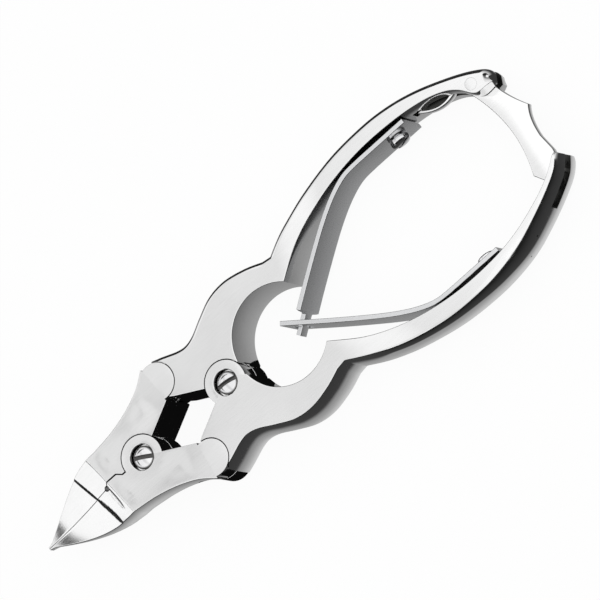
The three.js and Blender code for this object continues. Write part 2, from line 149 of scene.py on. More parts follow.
def ease(x, start, end):
    """Smooth step: 0 before start, 1 after end, 3t^2 - 2t^3 between them."""
    t = np.clip((np.asarray(x, float) - start) / (end - start), 0, 1)
    return t * t * (3 - 2 * t)


# ------------------------------------------------------------------ surfaces


def make_mesh(name, points, faces, unit=MM):
    """A mesh object at the origin from points in millimetres, or in another unit."""
    mesh = bpy.data.meshes.new(name)
    mesh.from_pydata((np.asarray(points, float) * unit).tolist(), [], faces)
    mesh.validate()
    obj = bpy.data.objects.new(name, mesh)
    bpy.context.scene.collection.objects.link(obj)
    return obj


def loft(name, rings):
    """Surface through closed rings of equal point counts, with flat caps on the two end rings.

    rings[i, j] is the point at station i along the piece and place j around it.
    """
    stations, around, _ = rings.shape
    i, j = np.meshgrid(np.arange(stations - 1), np.arange(around), indexing="ij")
    here, there = i * around, (i + 1) * around
    k = (j + 1) % around
    quads = np.stack([here + j, here + k, there + k, there + j], axis=-1).reshape(-1, 4)
    first = list(range(around))[::-1]
    last = list(range((stations - 1) * around, stations * around))
    obj = make_mesh(name, rings.reshape(-1, 3), [*quads.tolist(), first, last])
    face_outwards(obj)
    return obj


def face_outwards(obj):
    """Turns a closed mesh right side out, found from the sign of its volume."""
    mesh = obj.data
    mesh.calc_loop_triangles()
    corners = np.empty(len(mesh.loop_triangles) * 3, np.int32)
    mesh.loop_triangles.foreach_get("vertices", corners)
    points = np.empty(len(mesh.vertices) * 3)
    mesh.vertices.foreach_get("co", points)
    a, b, c = points.reshape(-1, 3)[corners.reshape(-1, 3)].transpose(1, 0, 2)
    if np.einsum("ij,ij->i", a, np.cross(b, c)).sum() < 0:
        mesh.flip_normals()


def corner(inset, drop, crisp, steps=9):
    """Edge profile from a wall up to a face, as (inset from the wall, drop below the face).

    A soft corner is a quarter ellipse. A crisp one is a long shallow arc up the wall that ends in a
    small rounding. crisp, from 0 to 1, mixes them at each station.
    """
    settings = (np.atleast_1d(v).astype(float) for v in (inset, drop, crisp))
    inset, drop, crisp = np.broadcast_arrays(*settings)
    a = np.linspace(0, math.pi / 2, 2 * steps + 1)
    soft_in = inset[:, None] * (1 - np.cos(a))
    soft_drop = drop[:, None] * (1 - np.sin(a))
    edge = 0.16
    lean = 2 * np.arctan(np.maximum(inset - edge, 0.02) / np.maximum(drop, 0.5))
    radius = (drop - edge * (1 - np.sin(lean))) / np.sin(lean)
    up = np.linspace(0, 1, steps + 1)[:, None] * lean
    over = lean + np.linspace(0, 1, steps + 1)[1:, None] * (math.pi / 2 - lean)
    wall_in = radius * (1 - np.cos(up))
    wall_drop = drop - radius * np.sin(up)
    rim_in = wall_in[-1] + edge * (np.cos(lean) - np.cos(over))
    rim_drop = wall_drop[-1] - edge * (np.sin(over) - np.sin(lean))
    crisp_in = np.vstack([wall_in, rim_in]).T
    crisp_drop = np.vstack([wall_drop, rim_drop]).T
    mix = crisp[:, None]
    return soft_in * (1 - mix) + crisp_in * mix, soft_drop * (1 - mix) + crisp_drop * mix


ACROSS = np.array([0.025, 0.12, 0.27, 0.42, 0.58, 0.73, 0.88, 0.975])


def ribbon(name, outer, inner, low, high, outer_edge, inner_edge, lower_edge=None, dish=None):
    """A plate between an outer and an inner plan curve, station by station.

    At each station the section is a closed loop: the outer wall with its edge profile, straight
    across the top, the inner wall with its profile, and back across the underside. low and high
    are the heights of the two faces, one value a station or a function of x and y; an edge is
    (inset, drop, crisp), each a number or one value a station. dish(x, y, across) is taken from
    the height of the top face.
    """
    count = len(outer)

    def level(face, plan):
        if callable(face):
            return face(plan[:, :, 0], plan[:, :, 1])
        return np.broadcast_to(face, count)[:, None] * np.ones(plan.shape[1])

    into_outer, into_inner = side_normals(outer, inner), side_normals(inner, outer)
    lower_edge = lower_edge or (outer_edge, inner_edge)

    def climb(line, normal, edge, sign, face):
        inset, drop = (np.broadcast_to(v, (count, v.shape[1])) for v in corner(*edge))
        plan = line[:, None, :] + normal[:, None, :] * inset[:, :, None]
        height = level(face, plan) - sign * drop
        return np.dstack([plan, height[:, :, None]])

    outer_top = climb(outer, into_outer, outer_edge, 1, high)
    inner_top = climb(inner, into_inner, inner_edge, 1, high)[:, ::-1]
    inner_low = climb(inner, into_inner, lower_edge[1], -1, low)
    outer_low = climb(outer, into_outer, lower_edge[0], -1, low)[:, ::-1]

    def bridge(a, b, face):
        points = a[:, None, :] + (b - a)[:, None, :] * ACROSS[None, :, None]
        points[:, :, 2] = level(face, points)
        return points

    top = bridge(outer_top[:, -1], inner_top[:, 0], high)
    bottom = bridge(inner_low[:, -1], outer_low[:, 0], low)
    if dish is not None:
        top[:, :, 2] -= dish(top[:, :, 0], top[:, :, 1], ACROSS[None, :])
    rings = np.concatenate([outer_top, top, inner_top, inner_low, bottom, outer_low], axis=1)
    return loft(name, rings)


def lathe(name, x, y, profile, steps=96):
    """Surface of revolution round the upright axis at (x, y): profile is (radius, height) pairs."""
    profile = np.asarray(profile, float)
    a = np.linspace(0, 2 * math.pi, steps, endpoint=False)
    radius = profile[:, 0][:, None]
    height = np.broadcast_to(profile[:, 1][:, None], (len(profile), steps))
    rings = np.dstack([x + radius * np.cos(a), y + radius * np.sin(a), height])
    return loft(name, rings)


def rod(name, x, y, radius, low, high, rim=0.0, flare=0.0):
    """An upright cylinder. rim rounds both ends; flare widens its top end, for a cutter that breaks an
    edge.
    """
    a = np.linspace(0, math.pi / 2, 7)
    if rim:
        end = np.column_stack([radius - rim + rim * np.sin(a), rim * (1 - np.cos(a))])
        bottom = end + [0, low]
        top = np.column_stack([end[::-1, 0], high - end[::-1, 1]])
        profile = np.vstack([bottom, top])
    elif flare:
        mouth = radius + flare * 1.6
        profile = [
            (radius, low), (radius, high - 2 * flare), (radius + flare * 0.35, high - flare),
            (radius + flare, high - flare * 0.35), (mouth, high), (mouth, high + 2),
        ]
    else:
        profile = [(radius, low), (radius, high)]
    return lathe(name, x, y, profile)


def box_solid(name, centre, size, angle=0.0):
    """A block turned about the upright axis, used as a cutter."""
    corners = np.array([[x, y, z] for x in (-0.5, 0.5) for y in (-0.5, 0.5) for z in (-0.5, 0.5)]) * size
    c, s = math.cos(angle), math.sin(angle)
    turned = corners @ np.array([[c, s, 0], [-s, c, 0], [0, 0, 1]]) + centre
    faces = [(0, 1, 3, 2), (4, 6, 7, 5), (0, 4, 5, 1), (2, 3, 7, 6), (0, 2, 6, 4), (1, 5, 7, 3)]
    obj = make_mesh(name, turned, faces)
    face_outwards(obj)
    return obj


def flat_plate(name, outline, low, high, rim=0.2, steps=5):
    """A plan outline raised to a plate whose edges are quarter circles of radius rim.

    Each ring is the outline moved inwards by rim (1 - cos a) at a height of rim (1 - sin a) from the face.
    """
    line = np.asarray(outline, float)
    ahead, behind = np.roll(line, -1, axis=0) - line, line - np.roll(line, 1, axis=0)
    ahead /= np.linalg.norm(ahead, axis=1, keepdims=True)
    behind /= np.linalg.norm(behind, axis=1, keepdims=True)
    area = np.sum(line[:, 0] * np.roll(line[:, 1], -1) - line[:, 1] * np.roll(line[:, 0], -1))
    turn = np.sign(area)
    left = lambda v: np.column_stack([-v[:, 1], v[:, 0]]) * turn
    miter = left(ahead) + left(behind)
    miter /= np.maximum(np.sum(miter * left(ahead), axis=1, keepdims=True), 0.5)
    a = np.linspace(0, math.pi / 2, steps)
    inset, drop = rim * (1 - np.cos(a)), rim * (1 - np.sin(a))
    levels = [(i, low + d) for i, d in zip(inset[::-1], drop[::-1])]
    levels += [(i, high - d) for i, d in zip(inset, drop)]
    rings = np.stack([np.column_stack([line + miter * i, np.full(len(line), z)]) for i, z in levels])
    return loft(name, rings)


def lay_along_y(obj, x, y, z, flip):
    """Turns a piece made upright at the origin to point along Y (or -Y) at a place, in its mesh."""
    turn = Matrix.Rotation(math.radians(90 if flip else -90), 4, "X")
    obj.data.transform(Matrix.Translation(Vector((x, y, z)) * MM) @ turn)


def combine(obj, *cutters, operation="DIFFERENCE"):
    """Cuts or joins other solids and removes them."""
    for other in cutters:
        modifier = obj.modifiers.new("solid", "BOOLEAN")
        modifier.operation = operation
        modifier.solver = "EXACT"
        modifier.object = other
        graph = bpy.context.evaluated_depsgraph_get()
        mesh = bpy.data.meshes.new_from_object(obj.evaluated_get(graph))
        obj.modifiers.clear()
        old = obj.data
        obj.data = mesh
        bpy.data.meshes.remove(old)
        bpy.data.meshes.remove(other.data)
    if not obj.data.polygons:
        raise RuntimeError(f"{obj.name} has no faces left")
    return obj


def finish_piece(obj, finish, body, replaces):
    """Shades by angle, gives the finish and hangs the piece on its body in place of a frame node."""
    obj.data.shade_smooth()
    obj.data.set_sharp_from_angle(angle=SHARP_ANGLE)
    obj.data.materials.clear()
    obj.data.materials.append(material_of(finish))
    obj.data.name = obj.name
    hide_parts(replaces)
    if body:
        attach(obj, body)
    return obj


# ------------------------------------------------------------------ shader maths


class Field:
    """A socket of a node tree; arithmetic on it adds Math nodes."""

    def __init__(self, tree, socket):
        self.tree = tree
        self.socket = socket

    def math(self, operation, *others):
        node = self.tree.nodes.new("ShaderNodeMath")
        node.operation = operation
        for slot, value in zip(node.inputs, (self, *others)):
            put(self.tree, slot, value)
        return Field(self.tree, node.outputs[0])

    def __add__(self, other):
        return self.math("ADD", other)

    __radd__ = __add__

    def __mul__(self, other):
        return self.math("MULTIPLY", other)

    __rmul__ = __mul__

    def __sub__(self, other):
        return self.math("SUBTRACT", other)

    def __rsub__(self, other):
        return self * -1.0 + other


def put(tree, socket, value):
    """Links a field to a socket, or sets the socket to a number, colour or vector."""
    if isinstance(value, Field):
        tree.links.new(value.socket, socket)
    else:
        socket.default_value = value


class Finish:
    """The node tree of a material or a world, with methods that make its nodes."""

    def __init__(self, owner):
        owner.use_nodes = True
        self.owner = owner
        self.tree = owner.node_tree
        self.tree.nodes.clear()

    def node(self, kind, settings=None, inputs=None, output=0):
        node = self.tree.nodes.new(kind)
        for name, value in (settings or {}).items():
            if name == "stops":
                ramp = node.color_ramp
                while len(ramp.elements) < len(value):
                    ramp.elements.new(0.5)
                for element, (place, colour) in zip(ramp.elements, value):
                    element.position = place
                    element.color = colour
            else:
                setattr(node, name, value)
        for name, value in (inputs or {}).items():
            put(self.tree, node.inputs[name], value)
        return Field(self.tree, node.outputs[output]) if node.outputs else None

    def done(self, shader):
        """Shows the shader on the surface and returns the material."""
        self.node("ShaderNodeOutputMaterial", None, {"Surface": shader})
        return self.owner

    def glow(self, strength=1.0):
        return self.node("ShaderNodeEmission", None, {"Color": (1, 1, 1, 1), "Strength": strength})

    def noise(self, vector, scale, detail=2.0, rough=0.5):
        return self.node(
            "ShaderNodeTexNoise", None,
            {"Vector": vector, "Scale": scale, "Detail": detail, "Roughness": rough},
        )

    def step(self, value, start, end):
        """0 below start, 1 above end, smooth between."""
        return self.node(
            "ShaderNodeMapRange", {"interpolation_type": "SMOOTHSTEP"},
            {"Value": value, "From Min": start, "From Max": end},
        )

    def mix(self, share, first, second):
        """Colour first at a share of 0, second at 1."""
        return self.node("ShaderNodeMix", {"data_type": "RGBA"}, {0: share, 6: first, 7: second}, 2)

    def axis(self, vector, number):
        return self.node("ShaderNodeSeparateXYZ", None, {"Vector": vector}, number)

    def distance(self, place, point):
        return self.node("ShaderNodeVectorMath", {"operation": "DISTANCE"}, {0: place, 1: point}, 1)

    def stretched(self, place, scale, turn=0.0):
        return self.node(
            "ShaderNodeMapping", None,
            {"Vector": place, "Rotation": (0, 0, turn), "Scale": scale},
        )


def steel(name, colour, roughness, grain, grain_turn=0.0, polish=1.0, rings=(), shade_height=None):
    """Polished steel: a directional ground grain, sparse fine scratches, clouded roughness from
    wiping, upward-facing edges worn rougher in patches and brightened there as a painted sheen, and
    turned rings round the pivots. The last argument is the height, in metres, below which a recess
    gets painted shade, dark and rougher."""
    make = Finish(bpy.data.materials.new(name))
    place = make.node("ShaderNodeTexCoord", output=3)
    lines = make.noise(make.stretched(place, (260, 5200, 900), grain_turn), 1.0, 3.0, 0.6)
    fine = make.noise(make.stretched(place, (2600, 2900, 2600)), 1.0, 2.0, 0.55)
    clouds = make.noise(make.stretched(place, (46, 60, 60)), 1.0, 3.0, 0.5)
    hairs = make.noise(make.stretched(place, (70, 8200, 1500), grain_turn + 0.5), 1.0, 1.0, 0.4)
    hairs_across = make.noise(make.stretched(place, (60, 7400, 1500), grain_turn - 0.9), 1.0, 1.0, 0.4)
    scratch = make.step(hairs, 0.70, 0.78) + make.step(hairs_across, 0.71, 0.79)
    normal = make.node("ShaderNodeNewGeometry", output=1)
    up = make.axis(normal, 2)
    # Faces sloping upwards, between the walls and the flat tops: worn patches there are rougher, and their
    # colour is lifted as a painted sheen.
    up_slopes = make.step(up, 0.12, 0.4) * (1.0 - make.step(up, 0.9, 0.99))
    wear_and_sheen = up_slopes * make.step(make.noise(make.stretched(place, (420, 420, 420)), 1.0, 3.0), 0.45, 0.68)
    height = lines * grain + fine * (0.35 * grain) - scratch * 0.35
    for x, y in rings:
        near = make.distance(place, (x * MM, y * MM, MID * MM))
        turned = (near * 26000.0).math("SINE") * (1.0 - make.step(near, 0.0035, 0.0072))
        height = height + turned * (0.12 * grain)
    rough = roughness + lines * (0.05 * grain) + (clouds - 0.5) * 0.05 + scratch * 0.10 + wear_and_sheen * 0.07
    dark = (*(c * 0.90 for c in colour), 1.0)
    tint = make.mix(make.step(clouds * 0.65 + lines * 0.35, 0.28, 0.66), dark, (*colour, 1.0))
    # Painted sheen: the worn patches on upward slopes pull the colour towards near white.
    bright = make.mix(wear_and_sheen * 0.5, tint, (0.95, 0.95, 0.95, 1.0))
    # Painted shade: below the given height a recess turns near black and rougher.
    if shade_height:
        z = make.axis(place, 2)
        recess_shade = 1.0 - make.step(z, shade_height - 0.00012, shade_height + 0.0001)
        rough = rough + recess_shade * 0.25
        bright = make.mix(recess_shade * 0.9, bright, (0.03, 0.028, 0.026, 1.0))
    bump = make.node(
        "ShaderNodeBump", None, {"Strength": 0.22 * polish, "Distance": 0.000012, "Height": height}
    )
    shader = make.node(
        "ShaderNodeBsdfPrincipled", None,
        {"Base Color": bright, "Metallic": 1.0, "Roughness": rough, "Normal": bump},
    )
    return make.done(shader)


# Height in metres below which the pivot screws' driver slots are dark with painted shade.
DRIVER_SLOT_FLOOR = 0.01027


def material_of(key):
    """The finish of one slot, made once from the sidebar's colours."""
    name = f"nipper_{key}"
    if name in bpy.data.materials:
        return bpy.data.materials[name]
    looks = bpy.context.scene.nipper_looks
    pivots = ((0, 0), (JAW_PIVOT_X, 0), (KNUCKLE[0], KNUCKLE[1]), (KNUCKLE[0], -KNUCKLE[1]))
    polished, screw, polish = looks.polished_colour, looks.screw_colour, looks.polish
    recipes = {
        "head": (polished, polish, 0.55, 0.1, 1.0, pivots),
        "jaw": (polished, polish + 0.02, 0.7, 0.35, 1.0, pivots),
        # slot: near black steel that paints shade into slots, recesses and faces hidden between parts.
        "slot": (looks.slot_shade_colour, 0.35, 0.8, 0.4),
        "lever": (looks.lever_colour, polish + 0.03, 0.5, 1.4),
        "spring": (looks.spring_colour, polish + 0.1, 1.2, 0.0),
        "screw": (screw, polish, 0.9, 0.9, 1.2, (), DRIVER_SLOT_FLOOR),
        "leaf_screw": (screw, polish, 0.9, 0.9, 1.2),
        "pin": (polished, polish + 0.04, 0.6, 0.3),
    }
    return steel(name, *recipes[key])


def colour_setting(name, description, default):
    """A colour in the sidebar."""
    return bpy.props.FloatVectorProperty(
        name=name, description=description, subtype="COLOR", size=3, min=0, max=1, default=default
    )


def length_setting(name, description, default):
    """A length in the sidebar, in metres."""
    return bpy.props.FloatProperty(
        name=name, description=description, subtype="DISTANCE", unit="LENGTH", default=default
    )


class NipperLooks(bpy.types.PropertyGroup):
    """Colours and finish of the steel."""

    polished_colour: colour_setting("Polished steel", "Colour of handles and jaws", (0.87, 0.87, 0.87))
    spring_colour: colour_setting("Spring steel", "Colour of the leaves", (0.74, 0.745, 0.755))
    screw_colour: colour_setting("Screw steel", "Colour of the screws", (0.80, 0.80, 0.81))
    lever_colour: colour_setting("Lever steel", "Colour of the lock lever", (0.96, 0.96, 0.96))
    # Colour of the painted shade inside the slots and recesses.
    slot_shade_colour: colour_setting("Shaded steel", "Colour inside the lock slots", (0.05, 0.05, 0.048))
    polish: bpy.props.FloatProperty(
        name="Polish", description="Roughness of the polished faces", subtype="FACTOR",
        min=0.01, max=1, default=0.07,
    )


class NipperForm(bpy.types.PropertyGroup):
    """Edge shapes of the forgings."""

    wall_belly: length_setting("Wall belly", "How far the head's walls lean in at their top edge", 0.0007)
    strap_round: length_setting("Strap rounding", "Straps' outer edge, across the strap", 0.0023)
    strap_fall: length_setting("Strap fall", "Straps' outer edge, down the wall", 0.0040)
    hollow: length_setting("Hollow", "Depth of the nose's hollow across its middle", 0.00003)


class NipperStudio(bpy.types.PropertyGroup):
    """Light and camera."""

    lens: bpy.props.FloatProperty(name="Lens", description="Focal length in millimetres", default=500.0)
    frame_width: length_setting("Frame width", "Width of the picture at the tool", 0.1206)
    panel: bpy.props.FloatProperty(
        name="Overhead panel", description="Brightness of the overhead panel", min=0, default=1.1,
    )
    floor: colour_setting("Floor", "Colour of the floor", (0.93, 0.93, 0.93))


# ------------------------------------------------------------------ handles


def side_of(points, side):
    """Plan points of side b, or mirrored to side a where side is -1."""
    return np.asarray(points, float) * [1, side]


def along(share):
    """Place on the long axis at a share of the grip, from its neck to its rear."""
    return STRAP_X - GRIP_LENGTH * share


# Rear ends of the straps, as (share of the grip, depth below the widest line); reach is added length.
REARS = {
    -1: {
        "outer": [(0.74, 1.8), (0.84, 3.9), (0.93, 6.3), (0.99, 8.6)],
        "end": (1.0, 10.2),
        "inner": [(0.985, 11.9), (0.92, 11.9), (0.875, 8.9), (0.83, 7.0), (0.755, 5.5)],
        "reach": 0.0,
    },
    1: {
        "outer": [(0.74, 1.8), (0.84, 4.2), (0.93, 6.9), (0.99, 9.2)],
        "end": (1.0, 11.9),
        "inner": [(1.01, 13.1), (0.945, 10.2), (0.87, 8.0), (0.755, 5.7)],
        "reach": 1.6,
    },
}


def handle_plan(side):
    """Outer and inner plan curves of a handle from the knuckle to the rear end, paired by station."""
    rear = REARS[side]
    at = lambda share, down: (along(share), BOW - down)
    kx, ky = KNUCKLE
    hump = spline([
        (5, 12.3), (2.8, 11.9), (0.3, 12.5), (-3.3, 14.4), (-7.5, 16.3), (-12, 16.8), (-17, 15.8),
        (-21, 14.3),
    ])
    notch = (STRAP_X - 0.6, 14.0)
    end = (along(rear["end"][0]) - rear["reach"], BOW - rear["end"][1])
    strap_out = spline([
        notch, at(0.11, 5.1), at(0.23, 2.4), at(0.38, 0.5), at(0.53, 0), at(0.64, 0.5),
        *[at(*p) for p in rear["outer"]], end,
    ])
    strap_in = spline([
        *[at(*p) for p in rear["inner"]],
        (along(0.64), INNER - 0.2), (along(0.49), INNER), (along(0.35), INNER - 1.0),
        (along(0.22), INNER - 3.1), (along(0.11), INNER - 5.9), (STRAP_X, INNER - 10.2),
    ])[::-1]
    split = int(np.argmin(np.abs(hump[:, 0] - 0.3)))
    second = int(np.argmin(np.abs(hump[:, 0] + 3.3)))
    outer = chain(
        [
            [(kx - 1.5, ky + 4.25), (8.2, 13.55)],
            np.vstack([[(8.2, 13.55)], hump[: split + 1]]),
            hump[split : second + 1],
            np.vstack([hump[second:], [notch]]),
            strap_out,
        ],
        [5, 14, 10, 60, 190],
    )
    inner = chain(
        [
            [(kx - 0.2, ky - 4.1), (kx - 1.2, ky - 4.8)],
            [(kx - 1.2, ky - 4.8), (1.0, 0.15)],
            [(1.0, 0.15), (-3.0, 0.15), (-3.9, 0.9)],
            np.vstack([[(-3.9, 0.9)], arc((CUTOUT_X, 0), CUTOUT_RADIUS, 9.0, 132.8)]),
            strap_in,
        ],
        [5, 14, 10, 60, 190],
    )
    return side_of(outer, side), side_of(inner, side)


def hinge_parts(obj, x, y, radius, own, mate, name):
    """Cuts the space for a neighbour's lug and adds this piece's own lug in its layer."""
    if mate == "upper":
        cutter = rod(name + "_pocket", x, y, radius + GAP, MID - GAP / 2, HEAD, flare=0.03)
    else:
        cutter = rod(name + "_pocket", x, y, radius + GAP, -2.0, MID + GAP / 2)
    combine(obj, cutter)
    low, high = (0.004, LOWER[1] + 0.004) if own == "lower" else (UPPER[0] - 0.004, HEAD - 0.004)
    combine(obj, rod(name + "_lug", x, y, radius + 0.1, low, high, rim=0.07), operation="UNION")


def screw_bore(obj, x, name):
    """Shank bore, counterbore and its broken edge, for a pivot screw."""
    seat = HEAD - 2.25
    profile = [
        (1.9, -2), (1.9, seat), (2.7, seat), (2.7, HEAD - 0.15), (2.74, HEAD - 0.06),
        (2.86, HEAD + 0.03), (2.86, HEAD + 2),
    ]
    combine(obj, lathe(name + "_bore", x, 0, profile))


def build_handle(side, form):
    """One handle: a ribbon from the knuckle round the cut-out to the rear end."""
    name = "handle_forging_a" if side < 0 else "handle_forging_b"
    outer, inner = handle_plan(side)
    x = (outer[:, 0] + inner[:, 0]) / 2
    strap = 1 - ease(x, STRAP_X - 17, STRAP_X - 0.5)
    rear_x = min(outer[-1, 0], inner[-1, 0])
    from_end = np.clip(x - rear_x, 0.0, 2.4)
    reach = 2.4 if side < 0 else 1.5
    share = np.clip(from_end / reach, 0, 1)
    cap = 0.35 + 0.65 * np.sqrt(np.clip(1 - (1 - share) ** 2, 0, 1))
    half = (MID * (1 - strap) + GRIP_HALF * strap) * cap
    width = np.linalg.norm(outer - inner, axis=1)
    soft = ease(strap, 0.0, 0.55)
    to_rear = (1 - ease(x, along(0.85), along(0.2))) * (side > 0)
    lean, lean_drop, crisp = (form.wall_belly / MM, 5.35, 1 - soft) if side > 0 else (1.1, 1.1, 0.0)
    round_in = (form.strap_round / MM) * (0.45 + 1.1 * to_rear**2 if side > 0 else 0.6)
    fall = (form.strap_fall / MM) * (0.6 + 0.75 * to_rear**2)
    inset = np.minimum(lean * (1 - strap) + round_in * strap, width * 0.66)
    drop = np.minimum(lean_drop * (1 - soft) + fall * soft, half * 1.15)
    under_in = np.minimum(0.45 + 0.55 * strap, width * 0.3)
    under_drop = np.minimum(2 * half * 0.94 - drop, 6.0)
    inner_in = np.minimum(0.22 + 0.2 * strap, width * 0.3)
    inner_drop = np.minimum(0.22 + 3.6 * strap, half * 0.9)
    obj = ribbon(
        name, outer, inner, MID - half, MID + half,
        (inset, drop, crisp), (inner_in, inner_drop, strap),
        ((under_in, under_drop, 0.0), (np.full(len(x), 0.22), np.minimum(0.22, half * 0.5), 0.0)),
    )
    own, mate = ("lower", "upper") if side < 0 else ("upper", "lower")
    hinge_parts(obj, 0, 0, HINGE_RADIUS, own, mate, name + "_hinge")
    hinge_parts(obj, KNUCKLE[0], side * KNUCKLE[1], KNUCKLE_RADIUS, "lower", "upper", name + "_ear")
    combine(obj, rod(name + "_pin_bore", KNUCKLE[0], side * KNUCKLE[1], KNUCKLE_BORE, -2, HEAD + 2))
    screw_bore(obj, 0, name)
    bore = rod(name + "_screw_bore", 0, 0, SPRING_BORE, -2.0, 3.4)
    lay_along_y(bore, SPRING_SCREW_X, side * SPRING_SEAT, MID, side < 0)
    combine(obj, bore)
    if side < 0:
        rx, ry = RIVET
        outline = [(rx - 8, ry + 6), (rx - 8, ry - 0.4), (rx - 2.6, ry - 1.6), (rx, ry - 2.5),
                   (rx + 3.5, ry - 4.6), (rx + 9, ry - 5.9), (rx + 14.6, ry - 6.7), (rx + 14.6, ry + 6)]
        combine(
            obj,
            flat_plate(name + "_slot", outline, *LOCK_SLOT, rim=0.01, steps=2),
            rod(name + "_rivet_bore", rx, ry, RIVET_BORE, -2, HEAD + 2),
        )
    else:
        rear = along(1.0) - 1.6
        size = np.array([2 + 8.8, 20.0, LOCK_SLOT[1] - LOCK_SLOT[0]])
        combine(
            obj,
            box_solid(name + "_fork", np.array([rear - 2 + size[0] / 2, BOW - 10, MID]), size),
            rod(name + "_catch_bore", CATCH[0], CATCH[1], 0.62, 2.7, HEAD - 2.7),
        )
    return obj


def darken(obj, chosen):
    """Paints shade on faces picked by chosen(centres in millimetres, normals), with the dark slot finish.
    """
    obj.data.materials.append(material_of("slot"))
    faces = obj.data.polygons
    centres, normals = np.empty(len(faces) * 3), np.empty(len(faces) * 3)
    faces.foreach_get("center", centres)
    faces.foreach_get("normal", normals)
    inside = chosen(centres.reshape(-1, 3) / MM, normals.reshape(-1, 3))
    faces.foreach_set("material_index", inside.astype(np.int32))


class NIPPER_OT_handles(bpy.types.Operator):
    """Build the two forged handles"""

    bl_idname = "nipper.handles"
    bl_label = "Handles"

    def execute(self, context):
        form = context.scene.nipper_form
        for side, body in ((-1, "handle_a"), (1, "handle_b")):
            obj = build_handle(side, form)
            finish_piece(obj, "head", body, body)
            # Painted shade on the faces that close the lock slot (handle a) and the fork (handle b) above
            # and below.
            darken(obj, lambda at, _: np.abs(np.abs(at[:, 2] - MID) - LOCK_SLOT[1] + MID) < 0.002)
        return {"FINISHED"}


# ------------------------------------------------------------------ jaws


def jaw_plan(side):
    """Outer and inner plan curves of a jaw from the knuckle to the tip, paired by station."""
    kx, ky = KNUCKLE
    shares = np.linspace(0.06, 0.94, 24)
    nose = [(CREASE_X + NOSE * s, 7.7 * (1 - s * s) ** 1.15) for s in shares]
    outer_curve = spline([
        (kx + 1.4, ky + 4.25), (kx + 4.8, ky + 1.7), (kx + 9.4, 9.7), (kx + 14.4, 8.4), (CREASE_X, 7.7),
    ])
    first = int(np.argmin(np.abs(outer_curve[:, 0] - (JAW_PIVOT_X - 0.8))))
    nose_curve = spline([(CREASE_X, 7.7), *nose, (TIP_X, 0.30)])
    lower = GAP / 2 - side * 1.0
    meeting = [
        (JAW_PIVOT_X - 0.8, 0.15), (STEP_X, GAP / 2), (STEP_X + 1.2, lower),
        (CREASE_X, lower),
    ]
    ahead = [
        (CREASE_X, lower), (STEP_X + 3.8, lower), (RELIEF_X, GAP / 2), (RELIEF_X + 1, 0.05),
        (TIP_X, 0.04),
    ]
    outer = chain([outer_curve[: first + 1], outer_curve[first:], nose_curve], [34, 40, 200])
    inner = chain([[(kx + 0.6, ky - 4.4), (JAW_PIVOT_X - 0.8, 0.15)], meeting, ahead], [34, 40, 200])
    return side_of(outer, side), side_of(inner, side)


def jaw_top(x, y):
    """Height of a jaw's upper face: flat, a bevel, a steep crescent, then the hollow's parabola.

    The crease and the crescent run slightly askew, by a shift of x that grows with y. On side b a
    slit runs outwards from the relief hole.
    """
    s = x - CREASE_X
    skew = 0.13 + 0.13 * ease(s, 1.5, 5.4) - 0.26 * ease(s, 8.0, 18.0)
    s = s + skew * y
    hollow = np.linspace(0, 17, 35)
    knots = np.concatenate([[-6, 1.2, 1.5, 2.0, 5.4, 5.65], 5.9 + hollow])
    tops = np.concatenate([[11, 11, 10.94, 10.76, 9.8, 9.46], 9.37 - 0.31 * hollow + 0.0098 * hollow**2])
    fine = np.arange(-4, 23, 0.05)
    kernel = np.hanning(9)
    padded = np.pad(np.interp(fine, knots, tops), 4, mode="edge")
    smooth = np.convolve(padded, kernel / kernel.sum(), "valid")
    slit_width, slit_depth = 0.2, 0.3
    across = np.exp(-(((s - RELIEF_X + CREASE_X) / slit_width) ** 2))
    outwards = ease(y, 0.2, 0.8) * (1 - ease(y, 3.2, 5.6))
    return np.interp(s, fine, smooth) - slit_depth * across * outwards


def jaw_underside(x, y):
    """Height of a jaw's belly: flat, then a quadratic rise to the tip."""
    start = JAW_PIVOT_X + HINGE_RADIUS
    t = np.clip((x - start) / (TIP_X + 1 - start), 0, 1)
    return np.minimum(t * (1 - t) + 5.6 * t * t, jaw_top(x, y) - 0.5)


